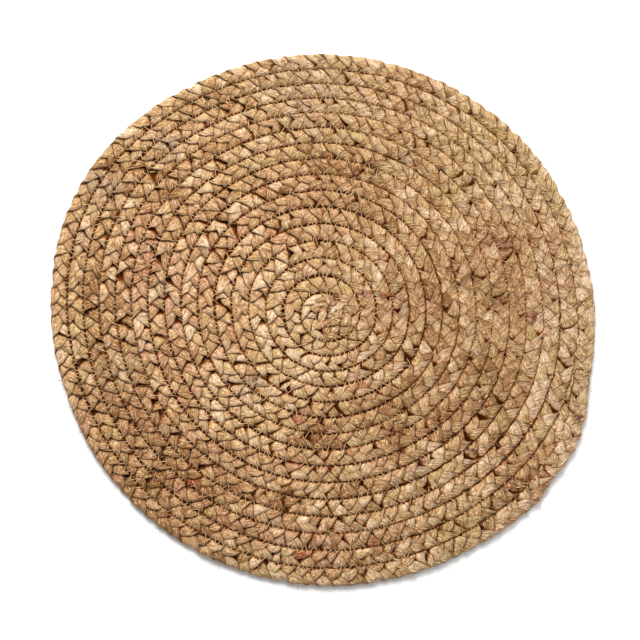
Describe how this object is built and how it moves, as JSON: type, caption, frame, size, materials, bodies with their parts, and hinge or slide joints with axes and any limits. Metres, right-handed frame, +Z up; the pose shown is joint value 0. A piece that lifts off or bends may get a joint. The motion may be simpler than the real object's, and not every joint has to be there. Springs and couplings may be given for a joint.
{
  "type": "round braided placemat",
  "caption": "Round table placemat of one braided natural-leaf plait, coiled flat from the middle outwards and sewn edge to edge, to lie under a plate.",
  "frame": {"origin": "middle of the mat's box, on the plane that the mat lies on", "axes": "+Z up out of the face a plate stands on; +X towards the side where the tail of the plait ends, a little clockwise of +X; +Y across, a quarter turn counter-clockwise from +X seen from above"},
  "size_m": [0.3832, 0.3736, 0.009],
  "materials": {
    "plaited_leaf": "dry plaited leaf, straw tan with pinkish, olive and dark brown stretches, dull with a faint waxy sheen",
    "sewing_thread": "thin light tan sewing thread, slightly shiny"
  },
  "bodies": {
    "root": {"braided_mat": "plaited_leaf"}
  },
  "joints": []
}
